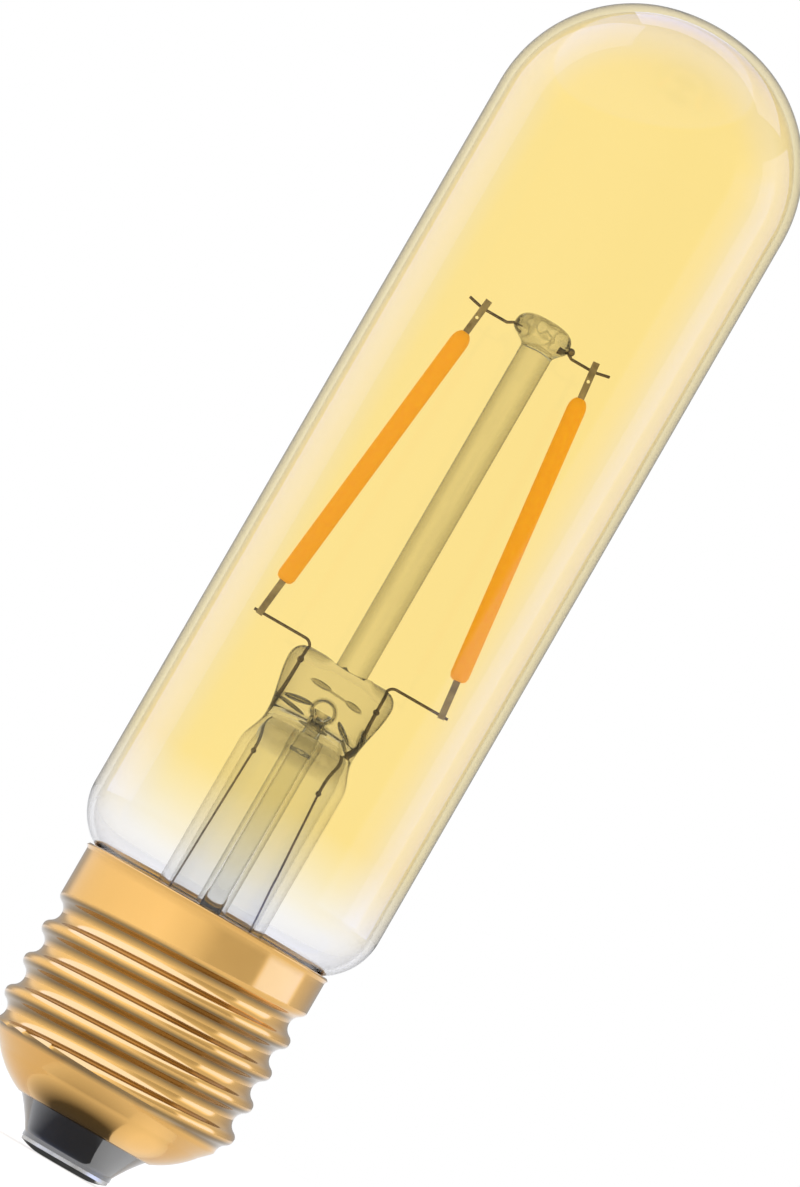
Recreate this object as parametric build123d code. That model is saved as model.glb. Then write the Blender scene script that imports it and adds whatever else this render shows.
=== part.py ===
from build123d import *

import math
import os

# A tubular LED filament bulb with a 27 mm screw cap. Millimetres, +Z towards the dome,
# origin at the middle of the centre contact's flat face, filaments left and right on X.

# Screw shell: thin sheet, drawn to a bowl and rolled with a right-hand thread
SHEET = 0.3
CREST_R = 13.1
THREAD_DEPTH = 1.05
PITCH = 3.629
CREST_ARC = 0.5
CREST_LAND = 0.34
RUN_OUT_R = 13.7
RUN_OUT_ANGLE = 90.0
BAND_HEIGHT = 5.82
BOWL_R = 9.8
SHELL_FOOT_Z = 4.7
SHELL_HOLE_R = 7.25
RUN_IN_Z = 7.6
RUN_IN_LEAD = 0.25
LIP_ARC = 0.8
LIP_ANGLE = 50.0
RIM_Z = 29.1

# Contact plate and black glass insulator under the shell
CONTACT_R = 4.8
CONTACT_SHEET = 0.35
CONTACT_FLAT_R = 2.2
CONTACT_RISE = 0.55
CONTACT_HOLE_R = 0.7
SOLDER_MOUND_CLEARANCE = 0.1
INSULATOR_LEDGE = 0.12
INSULATOR_LAND = 0.54
INSULATOR_HOLLOW = 0.12
POOL_DEPTH = 2.2
WIRE_CHANNEL_R = 1.0

# Glass envelope: tube with a domed top and a neck that stands in the shell
BULB_LENGTH = 129.0
TUBE_R = 16.0
GLASS_WALL = 0.85
KNUCKLE_CENTRE_R = 1.0
CROWN_EASE = 3.9
SHOULDER_R = 6.5
NECK_FILLET_R = 3.0
NECK_R = 11.0
NECK_INSERT = 8.1
RIM_CLEARANCE = 0.07
CEMENT_HEIGHT = 2.3
CEMENT_RECESS = 0.1

# Stem: flared tube fused to the neck, pinched flat at its head
STEM_R = 5.85
STEM_WALL = 1.0
FLARE_ARC = 4.15
PRESS_FOOT = 24.0
WAIST_RISE = 3.6
WAIST_HALF_WIDTH = 4.9
FLAT_RISE = 5.6
PRESS_RISE = 9.7
PRESS_HALF_WIDTH = 5.8
PRESS_HALF_DEPTH = 1.95
PRESS_SQUARENESS = 3.0
PRESS_ROUND = 1.6
PRESS_SECTIONS = 9
SADDLE_R = 8.0
SADDLE_DEPTH = 0.35
ROOF_RISE = 3.2
ROOF_HALF_WIDTH = 4.0
ROOF_HALF_DEPTH = 1.9
ROOF_SQUARENESS = 2.6
OVAL_POINTS = 24
ROUNDING_ANGLES = (30, 55, 75)

# Exhaust tube and the blow hole above it
EXHAUST_R = 1.6
EXHAUST_BORE_R = 1.0
EXHAUST_SEAT = 1.4
EXHAUST_LENGTH = 32.6
TIP_HEIGHT = 2.6
BLOW_HOLE_R = 1.15
BLOW_HOLE_RISE = 6.3

# Support rod with its button head
ROD_R = 1.7
ROD_SEAT = 1.2
ROD_OFFSET = 0.45
BUTTON_HALF_WIDTH = 3.05
BUTTON_HALF_DEPTH = 2.5
BUTTON_BASE = 1.6
BUTTON_CROWN = 1.9
BUTTON_SHIFT = -0.32
BUTTON_DROP = 0.6

# Leads: nickel wire, seal wire through the glass, and copper wire down to the board
LEAD_R = 0.15
SEAL_WIRE_R = 0.17
OUTER_LEAD_R = 0.125
KNOT_R = 0.3
LEAD_X = 4.35
LEAD_BEND_R = 0.8
ARM_CLEARANCE = 0.5
ARM_OVERHANG = 0.65
UPPER_KNOT_RISE = {"left": 9.7, "right": 8.9}
LOWER_KNOT_RISE = {"left": -0.3, "right": -0.8}
LOWER_KNOT_X = {"left": 4.08, "right": 3.6}
JOG_TOP_RISE = 5.0
JOG_FOOT_RISE = 3.4
OUTER_LEAD_X = 4.6
OUTER_LEAD_TURN = 8.0

# Filaments: a strip with light-emitting chips, coated in phosphor, with a tab at each end
FILAMENT_LENGTH = 38.2
FOOT_X = 10.3
HEAD_X = 6.08
FOOT_DROP = 0.3
BOTTOM_TAB = 4.06
TOP_TAB = 3.9
TAB_WIDTH = 0.7
TAB_THICKNESS = 0.25
TAB_ROOT = 0.9
TAB_HOLE_R = 0.17
TAB_HOLE_INSET = 2.05
WELD_FLAT = 0.05
COATING_R = 0.95
COATING_HALF_DEPTH = 0.85
NOSE_LENGTH = 1.3
NOSE_TIP_R = 0.42
FOOT_ROUND = 0.6
STRIP_WIDTH = 0.8
STRIP_THICKNESS = 0.4
CHIP_COUNT = 26
CHIP_LENGTH = 0.66
CHIP_WIDTH = 0.3
CHIP_HEIGHT = 0.12

# Support wires from the button to the heads of the filaments
SUPPORT_WIRE_R = 0.15
WIRE_GRIP = 1.4
DIP_REACH = 0.6
HOOK_DROP = 0.95
HOOK_OVERLAP = 0.25
TIP_REACH = 1.6
TIP_RISE = 0.35
WIRE_BEND_R = 0.3
BEAD_R = 0.42

# Driver board in the cap and what it carries
BOARD_R = 10.8
BOARD_THICKNESS = 1.0
HOLE_CLEARANCE = 0.06
JOINT_R = 0.55
JOINT_TIP_R = 0.43
JOINT_HEIGHT = 0.5
TAIL = 0.45
CAPACITOR_R = 3.15
CAPACITOR_HEIGHT = 8.0
CAPACITOR_PITCH = 2.5
CAPACITOR_X = -5.8
CAPACITOR_Y = 4.0
CAN_ROUND = 0.3
CAN_GROOVE_Z = 1.3
CAN_GROOVE_R = 0.5
CAN_GROOVE_DEPTH = 0.25
COMPONENT_LEAD_R = 0.22
FUSE_R = 1.2
FUSE_LENGTH = 6.2
FUSE_PITCH = 9.0
FUSE_X = 1.5
FUSE_Y = -7.0
FUSE_STANDOFF = 0.2
FUSE_BULGE = 1.36
FUSE_WAIST_R = 0.98
FUSE_BEND_R = 0.5
BRIDGE_LENGTH = 4.7
BRIDGE_WIDTH = 3.8
BRIDGE_HEIGHT = 1.5
BRIDGE_X = 6.3
BRIDGE_Y = 4.6
CHIP_BODY_LENGTH = 4.9
CHIP_BODY_WIDTH = 3.9
CHIP_BODY_HEIGHT = 1.4
CHIP_BODY_X = 0.9
CHIP_BODY_Y = -3.4
PIN_WIDTH = 0.42
PIN_THICKNESS = 0.2
PIN_REACH = 1.0
PIN_ROOT = 0.25
PIN_KNEE = 0.35
PIN_SLOPE = 0.1
BODY_DRAFT = 0.15
RESISTOR_LENGTH = 2.0
RESISTOR_WIDTH = 1.25
RESISTOR_HEIGHT = 0.5
RESISTOR_CAP = 0.4
RESISTOR_CAP_SHEET = 0.03
RESISTOR_SPACING = 2.1
RESISTOR_X = -6.6
RESISTOR_Y = -2.4
LIVE_WIRE_R = 0.3
NEUTRAL_WIRE_R = 0.25
NEUTRAL_Y = 9.2
NEUTRAL_RISE = 4.0
NEUTRAL_LEAN = 1.2
NEUTRAL_END_GAP = 0.35
NEUTRAL_BEND_R = 0.6
SOLDER_BLOB_R = 1.0

# Places that follow from the sizes above
TOP_ROOT_Z = RIM_Z - BAND_HEIGHT
NECK_END_Z = RIM_Z - NECK_INSERT
FOOT_Z = NECK_END_Z + PRESS_FOOT
PRESS_TOP_Z = FOOT_Z + PRESS_RISE + PRESS_ROUND
ROOF_Z = FOOT_Z + ROOF_RISE
BLOW_HOLE_Z = FOOT_Z + BLOW_HOLE_RISE
ARM_Z = PRESS_TOP_Z + ARM_CLEARANCE
LEAN = math.degrees(math.asin((FOOT_X - HEAD_X) / FILAMENT_LENGTH))
FILAMENT_FOOT_Z = ARM_Z - FOOT_DROP
FILAMENT_HEAD_Z = FILAMENT_FOOT_Z + FILAMENT_LENGTH * math.cos(math.radians(LEAN))
HOOK_Z = FILAMENT_HEAD_Z - HOOK_DROP
BUTTON_Z = FILAMENT_HEAD_Z - BUTTON_DROP
TAB_Y = -(LEAD_R - WELD_FLAT) - TAB_THICKNESS / 2
BOWL_CENTRE_R = CREST_R - BOWL_R
BOWL_CENTRE_Z = SHELL_FOOT_Z + math.sqrt(BOWL_R**2 - (SHELL_HOLE_R - BOWL_CENTRE_R) ** 2)
POOL_Z = SHELL_FOOT_Z + POOL_DEPTH
INNER_BOWL_R = BOWL_R - SHEET
BOARD_Z = BOWL_CENTRE_Z - math.sqrt(INNER_BOWL_R**2 - (BOARD_R - BOWL_CENTRE_R) ** 2)
BOARD_TOP_Z = BOARD_Z + BOARD_THICKNESS
SIDES = {"left": -1, "right": 1}


def blend(share):
    """Ease from 0 to 1 with level ends, as share runs from 0 to 1."""
    return (1 - math.cos(math.pi * min(max(share, 0), 1))) / 2


def turned(outline):
    """A solid of revolution about Z from lines drawn as radius and height."""
    return revolve(Plane.XZ * make_face(outline), axis=Axis.Z)


def drawn_wire(points, radius, bend):
    """Round wire along straight runs joined by bends of one radius."""
    path = FilletPolyline(*points, radius=bend) if len(points) > 2 else Line(*points)
    start = Plane(origin=path @ 0, z_dir=path % 0)
    return sweep(start * Circle(radius), path=path)


def bar(centre_x, centre_y, low_z, radius, length):
    """An upright round bar."""
    return Pos(centre_x, centre_y, low_z + length / 2) * Cylinder(radius, length)


def lip_inner_radius():
    """Inner edge of the flared lip, where the shell comes nearest to the glass."""
    return CREST_R + LIP_ARC - (LIP_ARC + SHEET) * math.cos(math.radians(LIP_ANGLE))


def lip_start_z():
    """Height at which the band starts to flare into the lip."""
    return RIM_Z - (LIP_ARC + SHEET) * math.sin(math.radians(LIP_ANGLE))


def shell_blank(inset, foot_z):
    """The shell's form before threading, drawn in by inset and filled to the axis."""
    bowl = BOWL_R - inset
    start = math.degrees(math.acos((SHELL_HOLE_R - BOWL_CENTRE_R) / bowl))
    run_in_r = BOWL_CENTRE_R + math.sqrt(BOWL_R**2 - (BOWL_CENTRE_Z - RUN_IN_Z) ** 2)
    flank = RUN_IN_Z - run_in_r + inset * math.sqrt(2)
    reach = (BOWL_CENTRE_Z - BOWL_CENTRE_R - flank) / (bowl * math.sqrt(2))
    end = math.degrees(math.asin(reach)) - 45
    arc = CenterArc((BOWL_CENTRE_R, BOWL_CENTRE_Z), bowl, -start, start - end)
    wall_r = CREST_R - inset
    lip_centre = (CREST_R + LIP_ARC, lip_start_z())
    lip = CenterArc(lip_centre, LIP_ARC + inset, 180, -LIP_ANGLE)
    foot = Polyline((0, foot_z), (SHELL_HOLE_R, foot_z), arc @ 0)
    wall = Polyline(arc @ 1, (wall_r, wall_r + flank), lip @ 0)
    rim = (lip_inner_radius(), RIM_Z)
    edge = [rim] if inset else [lip @ 1, rim]
    roof = Polyline(*edge, (0, RIM_Z), (0, foot_z))
    return turned(Curve() + foot + arc + wall + lip + roof)


def thread_groove(inset):
    """The groove's section, drawn in by inset: a root arc between two crest arcs."""
    cut_off = CREST_ARC - math.sqrt(CREST_ARC**2 - (CREST_LAND / 2) ** 2)
    depth = THREAD_DEPTH + cut_off
    root_arc = (depth**2 + (PITCH / 2) ** 2) / (2 * depth) - CREST_ARC
    root_centre = Vector(root_arc, 0)
    crest_centre = Vector(depth - CREST_ARC, PITCH / 2)
    towards = (crest_centre - root_centre).normalized()
    root = root_arc + inset
    crest = CREST_ARC - inset
    tangent = root_centre + towards * root
    reach = THREAD_DEPTH - inset + cut_off / 2
    half_land = math.sqrt(crest**2 - (reach - crest_centre.X) ** 2)
    edge = Vector(reach, PITCH / 2 - half_land)
    outside = THREAD_DEPTH + SHEET
    lower = [Vector(point.X, -point.Y) for point in (tangent, edge)]
    root_line = ThreePointArc(lower[0], (root_centre.X - root, 0), tangent)
    upper_crest = RadiusArc(tangent, edge, crest)
    lower_crest = RadiusArc(lower[1], lower[0], crest)
    back = Polyline(edge, (outside, edge.Y), (outside, -edge.Y), lower[1])
    return make_face(Curve() + root_line + upper_crest + lower_crest + back)


def threaded_form(inset, foot_z):
    """The threaded shell's form, drawn in by inset: the blank less its helical groove."""
    root_r = CREST_R - THREAD_DEPTH
    height = TOP_ROOT_Z - RUN_IN_Z - RUN_IN_LEAD
    helix_foot = Pos(0, 0, TOP_ROOT_Z - height) * Rot(0, 0, -360 * height / PITCH)
    section = Pos(root_r, 0, TOP_ROOT_Z) * Rot(90, 0, 0) * thread_groove(inset)
    groove = sweep(section, path=helix_foot * Helix(PITCH, height, root_r), is_frenet=True)
    climb = PITCH / (2 * math.pi * root_r)
    run_out_axis = Axis((root_r - RUN_OUT_R, 0, TOP_ROOT_Z), (0, -climb, 1))
    run_out = revolve(section, axis=run_out_axis, revolution_arc=RUN_OUT_ANGLE)
    return shell_blank(inset, foot_z) - groove - run_out


def screw_shell(cavity):
    """Sheet of one thickness all over, threaded inside and out."""
    return threaded_form(0, SHELL_FOOT_Z) - cavity


def contact_curve(lift):
    """Underside of the contact plate from the hole to the edge, raised by lift."""
    flat = Line((0, lift), (CONTACT_FLAT_R, lift))
    dish = TangentArc((CONTACT_FLAT_R, lift), (CONTACT_R, CONTACT_RISE + lift), tangent=(1, 0))
    return flat, dish


def centre_contact():
    """Dished plate with a hole in the middle for the wire and its solder."""
    flat, dish = contact_curve(0)
    inner_flat, inner_dish = contact_curve(CONTACT_SHEET)
    sides = Line(dish @ 1, inner_dish @ 1) + Line(flat @ 0, inner_flat @ 0)
    plate = turned(Curve() + flat + dish + sides + inner_flat + inner_dish)
    return plate - Cylinder(CONTACT_HOLE_R, 4 * CONTACT_SHEET)


def insulator():
    """Black glass, poured round the contact plate and into the shell's open bottom."""
    inner_flat, inner_dish = contact_curve(CONTACT_SHEET)
    land_r = CONTACT_R + INSULATOR_LEDGE
    land_z = CONTACT_RISE + CONTACT_SHEET
    low = (land_r, land_z + INSULATOR_LAND)
    high = (SHELL_HOLE_R, SHELL_FOOT_Z)
    middle = Vector((low[0] + high[0]) / 2 - INSULATOR_HOLLOW, (low[1] + high[1]) / 2)
    cone = ThreePointArc(low, middle, high)
    ledge = Polyline(inner_dish @ 1, (land_r, land_z), low)
    core = Polyline(high, (0, SHELL_FOOT_Z), (0, CONTACT_SHEET))
    button = turned(Curve() + inner_flat + inner_dish + ledge + cone + core)
    pool = shell_blank(SHEET, SHELL_FOOT_Z) & bar(0, 0, SHELL_FOOT_Z, CREST_R, POOL_DEPTH)
    return button + pool - bar(0, 0, 0, WIRE_CHANNEL_R, POOL_Z + 1)


def envelope_form(inset, foot_z):
    """The envelope's outer form, drawn in by inset and filled to the axis."""
    knuckle_r = TUBE_R - KNUCKLE_CENTRE_R
    crown_z = BULB_LENGTH - knuckle_r - CROWN_EASE
    rise = math.sqrt(CROWN_EASE**2 - KNUCKLE_CENTRE_R**2)
    knuckle_z = crown_z + rise
    meet = math.degrees(math.atan2(rise, KNUCKLE_CENTRE_R))
    crown = CenterArc((0, crown_z), knuckle_r + CROWN_EASE - inset, meet, 90 - meet)
    knuckle = CenterArc((KNUCKLE_CENTRE_R, knuckle_z), knuckle_r - inset, 0, meet)
    shoulder_r = TUBE_R - SHOULDER_R
    glass_at_rim = lip_inner_radius() - RIM_CLEARANCE - shoulder_r
    shoulder_z = RIM_Z + math.sqrt(SHOULDER_R**2 - glass_at_rim**2)
    fillet_r = NECK_R + NECK_FILLET_R
    drop = math.sqrt((SHOULDER_R + NECK_FILLET_R) ** 2 - (fillet_r - shoulder_r) ** 2)
    slant = math.degrees(math.atan2(drop, fillet_r - shoulder_r))
    shoulder = CenterArc((shoulder_r, shoulder_z), SHOULDER_R - inset, -slant, slant)
    fillet = CenterArc((fillet_r, shoulder_z - drop), NECK_FILLET_R + inset, 180, -slant)
    foot = Polyline((0, foot_z), (NECK_R - inset, foot_z), fillet @ 0)
    tube = Line(shoulder @ 1, knuckle @ 0)
    axis = Line(crown @ 1, (0, foot_z))
    return turned(Curve() + foot + fillet + shoulder + tube + knuckle + crown + axis)


def glass_envelope():
    """One wall of glass from the neck's end to the dome."""
    return envelope_form(0, NECK_END_Z) - envelope_form(GLASS_WALL, NECK_END_Z)


def basing_cement():
    """Cement between the glass neck and the inside of the shell's band."""
    top_z = lip_start_z() - CEMENT_RECESS
    ring = bar(0, 0, top_z - CEMENT_HEIGHT, CREST_R - SHEET, CEMENT_HEIGHT)
    return ring - envelope_form(0, NECK_END_Z)


def oval(half_width, half_depth, squareness, z):
    """A closed oval at height z, round at squareness 2 and boxier above it."""
    points = []
    for step in range(OVAL_POINTS):
        turn = 2 * math.pi * step / OVAL_POINTS
        across, back = math.cos(turn), math.sin(turn)
        x = half_width * math.copysign(abs(across) ** (2 / squareness), across)
        y = half_depth * math.copysign(abs(back) ** (2 / squareness), back)
        points.append((x, y, z))
    return make_face(Spline(*points, periodic=True))


def press_body():
    """The stem's head: a round tube squeezed to a waist and then to a flat, rounded top."""
    sections = [Pos(0, 0, FOOT_Z) * Circle(STEM_R)]
    for step in range(PRESS_SECTIONS):
        rise = PRESS_RISE * (step + 0.5) / (PRESS_SECTIONS - 0.5)
        waist = blend(rise / WAIST_RISE)
        head = blend((rise - WAIST_RISE) / (PRESS_RISE - WAIST_RISE))
        flat = blend(rise / FLAT_RISE)
        width = STEM_R + (WAIST_HALF_WIDTH - STEM_R) * waist
        width += (PRESS_HALF_WIDTH - WAIST_HALF_WIDTH) * head
        depth = STEM_R + (PRESS_HALF_DEPTH - STEM_R) * flat
        squareness = 2 + (PRESS_SQUARENESS - 2) * flat
        sections.append(oval(width, depth, squareness, FOOT_Z + rise))
    for angle in ROUNDING_ANGLES:
        inset = PRESS_ROUND * (1 - math.cos(math.radians(angle)))
        z = FOOT_Z + PRESS_RISE + PRESS_ROUND * math.sin(math.radians(angle))
        size = (PRESS_HALF_WIDTH - inset, PRESS_HALF_DEPTH - inset)
        sections.append(oval(*size, PRESS_SQUARENESS, z))
    saddle_z = PRESS_TOP_Z - SADDLE_DEPTH + SADDLE_R
    saddle = Pos(0, 0, saddle_z) * Rot(90, 0, 0) * Cylinder(SADDLE_R, 4 * PRESS_HALF_DEPTH)
    return loft(sections) - saddle


def press_cavity():
    """The hollow of the tube, closing to a roof under the press."""
    inner_r = STEM_R - STEM_WALL
    sections = [Pos(0, 0, FOOT_Z) * Circle(inner_r)]
    for share in (0.15, 0.4, 0.7, 1.0):
        closing = blend(share)
        width = inner_r + (ROOF_HALF_WIDTH - inner_r) * closing
        depth = inner_r + (ROOF_HALF_DEPTH - inner_r) * closing
        squareness = 2 + (ROOF_SQUARENESS - 2) * closing
        sections.append(oval(width, depth, squareness, FOOT_Z + ROOF_RISE * share))
    return loft(sections)


def flare():
    """Trumpet-shaped foot with a flat rim, and the straight tube above it."""
    turn_r = STEM_R + FLARE_ARC
    centre = (turn_r, NECK_END_Z + FLARE_ARC)
    outer = CenterArc(centre, FLARE_ARC, 270, -90)
    inner = CenterArc(centre, FLARE_ARC + STEM_WALL, 270, -90)
    rim = Polyline(outer @ 0, (NECK_R, NECK_END_Z), (NECK_R, NECK_END_Z - STEM_WALL), inner @ 0)
    tube = Polyline(outer @ 1, (STEM_R, FOOT_Z), (STEM_R - STEM_WALL, FOOT_Z), inner @ 1)
    return turned(Curve() + outer + inner + rim + tube)


def stem(embedded):
    """Flare and press in one piece of glass, less everything that is sealed into it."""
    body = flare() + (press_body() - press_cavity())
    vent = bar(0, 0, ROOF_Z, EXHAUST_BORE_R, BLOW_HOLE_Z - ROOF_Z)
    hole = Rot(90, 0, 0) * Cylinder(BLOW_HOLE_R, 4 * PRESS_HALF_DEPTH)
    socket = bar(0, 0, ROOF_Z - 1, EXHAUST_R, EXHAUST_SEAT + 1)
    rod_socket = bar(ROD_OFFSET, 0, rod_foot_z(), ROD_R, PRESS_TOP_Z)
    return body - [vent, Pos(0, 0, BLOW_HOLE_Z) * hole, socket, rod_socket] - embedded


def exhaust_tube():
    """Pumping tube, open in the press and melted shut at its lower tip."""
    top_z = ROOF_Z + EXHAUST_SEAT
    low_z = top_z - EXHAUST_LENGTH
    shut_z = low_z + TIP_HEIGHT
    wall = EXHAUST_R - EXHAUST_BORE_R
    middle = (0.75 * EXHAUST_R, low_z + 0.4 * TIP_HEIGHT)
    tip = ThreePointArc((0, low_z), middle, (EXHAUST_R, shut_z))
    bore_tip = Line((0, low_z + 2 * wall), (EXHAUST_BORE_R, shut_z))
    outside = Line((EXHAUST_R, shut_z), (EXHAUST_R, top_z))
    top = Line((EXHAUST_R, top_z), (EXHAUST_BORE_R, top_z))
    inside = Line((EXHAUST_BORE_R, top_z), (EXHAUST_BORE_R, shut_z))
    axis = Line((0, low_z), (0, low_z + 2 * wall))
    return turned(Curve() + tip + outside + top + inside + bore_tip + axis)


def rod_foot_z():
    """Lower end of the support rod, sunk into the saddle of the press."""
    return PRESS_TOP_Z - SADDLE_DEPTH - ROD_SEAT


def button():
    """Oval glass head melted onto the rod, wider across than it is deep."""
    sections = [Pos(ROD_OFFSET, 0, BUTTON_Z - BUTTON_BASE) * Circle(ROD_R)]
    for share in (0.35, 0.7, 1.0):
        swell = blend(share)
        width = ROD_R + (BUTTON_HALF_WIDTH - ROD_R) * swell
        depth = ROD_R + (BUTTON_HALF_DEPTH - ROD_R) * swell
        x = ROD_OFFSET + BUTTON_SHIFT * swell
        z = BUTTON_Z - BUTTON_BASE * (1 - share)
        sections.append(Pos(x, 0, z) * Ellipse(width, depth))
    for angle in ROUNDING_ANGLES:
        shrink = math.cos(math.radians(angle))
        z = BUTTON_Z + BUTTON_CROWN * math.sin(math.radians(angle))
        head = Ellipse(BUTTON_HALF_WIDTH * shrink, BUTTON_HALF_DEPTH * shrink)
        sections.append(Pos(ROD_OFFSET + BUTTON_SHIFT, 0, z) * head)
    return loft(sections)


def support_rod(embedded):
    """Glass rod from the press to the button that holds the support wires."""
    low_z = rod_foot_z()
    shaft = bar(ROD_OFFSET, 0, low_z, ROD_R, BUTTON_Z - BUTTON_BASE - low_z)
    return shaft + button() - embedded


def knot_place(side, level):
    """Where a lead's upper or lower weld knot lies."""
    rises = UPPER_KNOT_RISE if level == "upper" else LOWER_KNOT_RISE
    x = LEAD_X if level == "upper" else LOWER_KNOT_X[side]
    return Vector(SIDES[side] * x, 0, FOOT_Z + rises[side])


def inner_lead(side):
    """Wire from the upper knot out of the press and sideways to the filament's foot."""
    sign = SIDES[side]
    knot = knot_place(side, "upper")
    end_x = sign * (FOOT_X + ARM_OVERHANG)
    corner = (sign * LEAD_X, 0, ARM_Z)
    return drawn_wire([knot, corner, (end_x, 0, ARM_Z)], LEAD_R, LEAD_BEND_R)


def seal_wire(side):
    """Wire that seals to the glass, with a weld knot at each end and a jog at the waist."""
    sign = SIDES[side]
    upper = knot_place(side, "upper")
    lower = knot_place(side, "lower")
    jog_top = (upper.X, 0, FOOT_Z + JOG_TOP_RISE)
    jog_foot = (lower.X, 0, FOOT_Z + JOG_FOOT_RISE)
    wire = drawn_wire([upper, jog_top, jog_foot, lower], SEAL_WIRE_R, LEAD_BEND_R)
    knots = [Pos(place) * Sphere(KNOT_R) for place in (upper, lower)]
    return wire + knots - [inner_lead(side), outer_lead(side)]


def outer_lead(side):
    """Wire from the lower knot down the flare and through the board."""
    sign = SIDES[side]
    lower = knot_place(side, "lower")
    turn = (sign * OUTER_LEAD_X, 0, NECK_END_Z + OUTER_LEAD_TURN)
    tail = (sign * OUTER_LEAD_X, 0, BOARD_Z - TAIL)
    return drawn_wire([lower, turn, tail], OUTER_LEAD_R, LEAD_BEND_R)


def support_wire(side):
    """Wire from the button to its filament's head, dipping and then rising to its tip."""
    sign = SIDES[side]
    inner_x = ROD_OFFSET + BUTTON_SHIFT + sign * (BUTTON_HALF_WIDTH - WIRE_GRIP)
    edge_x = ROD_OFFSET + BUTTON_SHIFT + sign * BUTTON_HALF_WIDTH
    dip_x = edge_x + sign * DIP_REACH
    hook_x = sign * (HEAD_X + HOOK_OVERLAP)
    dip = [(inner_x, 0, BUTTON_Z), (edge_x, 0, BUTTON_Z), (dip_x, 0, HOOK_Z)]
    rise = [(hook_x, 0, HOOK_Z), (hook_x + sign * TIP_REACH, 0, HOOK_Z + TIP_RISE)]
    wire = drawn_wire(dip + rise, SUPPORT_WIRE_R, WIRE_BEND_R)
    if side == "right":
        wire += Pos(edge_x + BEAD_R / 2, 0, BUTTON_Z + BEAD_R / 2) * Sphere(BEAD_R)
    return wire


def filament_plane(side):
    """Frame of a filament: Z runs up its length from the foot, Y to the back."""
    foot = Vector(SIDES[side] * FOOT_X, TAB_Y, FILAMENT_FOOT_Z)
    return Location(foot) * Rot(0, -SIDES[side] * LEAN, 0)


def tab(length):
    """Flat metal tab, from its outer end at 0 to its root inside the coating."""
    full = length + TAB_ROOT
    return Pos(0, 0, full / 2) * Box(TAB_WIDTH, TAB_THICKNESS, full)


def bottom_tab(side):
    """Tab welded to the end of the inner lead."""
    return filament_plane(side) * tab(BOTTOM_TAB)


def top_tab(side):
    """Tab welded to the support wire, with a small hole that marks its polarity."""
    hole = Pos(0, 0, TAB_HOLE_INSET) * Rot(90, 0, 0) * Cylinder(TAB_HOLE_R, 4 * TAB_THICKNESS)
    upside_down = Pos(0, 0, FILAMENT_LENGTH) * Rot(0, 180, 0)
    return filament_plane(side) * upside_down * (tab(TOP_TAB) - hole)


def strip_span():
    """Lower and upper end of the strip between the roots of the two tabs."""
    return BOTTOM_TAB + TAB_ROOT, FILAMENT_LENGTH - TOP_TAB - TAB_ROOT


def strip(side):
    """Thin carrier strip between the tabs."""
    low, high = strip_span()
    body = Box(STRIP_WIDTH, STRIP_THICKNESS, high - low)
    return filament_plane(side) * Pos(0, 0, (low + high) / 2) * body


def chips(side):
    """Row of light-emitting chips on the strip's front face."""
    low, high = strip_span()
    pitch = (high - low) / CHIP_COUNT
    y = -(STRIP_THICKNESS + CHIP_HEIGHT) / 2
    die = Box(CHIP_WIDTH, CHIP_HEIGHT, CHIP_LENGTH)
    row = [Pos(0, y, low + pitch * (n + 0.5)) * die for n in range(CHIP_COUNT)]
    return filament_plane(side) * Compound(children=row)


def coating(side, buried):
    """Phosphor coating: an oval rod with a bullet nose above and a rounded foot."""
    low, high = BOTTOM_TAB, FILAMENT_LENGTH - TOP_TAB
    aspect = COATING_HALF_DEPTH / COATING_R
    foot = [(0.55, 0), (0.85, 0.3), (1, 1)]
    nose = [(0, 1), (0.45, 0.93), (0.8, 0.72), (1, NOSE_TIP_R / COATING_R)]
    sections = [(low + FOOT_ROUND * rise, share) for share, rise in foot]
    sections += [(high - NOSE_LENGTH * (1 - rise), share) for rise, share in nose]
    ovals = []
    for z, share in sections:
        oval_r = COATING_R * share
        ovals.append(Pos(0, 0, z) * Ellipse(oval_r, oval_r * aspect))
    parts = loft(ovals[:3]) + loft([ovals[2], ovals[3]]) + loft(ovals[3:])
    return filament_plane(side) * parts - buried


def through_leads(places, radius, top_z):
    """Round component leads through the board at each place, ending in short tails."""
    low_z = BOARD_Z - TAIL
    return [bar(x, y, low_z, radius, top_z - low_z) for x, y in places]


def capacitor_places():
    """Where the capacitor's two leads pass the board."""
    half = CAPACITOR_PITCH / 2
    return [(CAPACITOR_X - half, CAPACITOR_Y), (CAPACITOR_X + half, CAPACITOR_Y)]


def fuse_places():
    """Where the fuse resistor's two leads pass the board."""
    return [(FUSE_X - FUSE_PITCH / 2, FUSE_Y), (FUSE_X + FUSE_PITCH / 2, FUSE_Y)]


def smoothing_capacitor():
    """Standing can with a rolled groove near its foot and two leads."""
    can = bar(0, 0, 0, CAPACITOR_R, CAPACITOR_HEIGHT)
    can = fillet(can.edges().sort_by(Axis.Z)[-1], CAN_ROUND)
    ring = Torus(CAPACITOR_R + CAN_GROOVE_R - CAN_GROOVE_DEPTH, CAN_GROOVE_R)
    can -= Pos(0, 0, CAN_GROOVE_Z) * ring
    body = Pos(CAPACITOR_X, CAPACITOR_Y, BOARD_TOP_Z) * can
    return body + through_leads(capacitor_places(), COMPONENT_LEAD_R, BOARD_TOP_Z)


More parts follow.
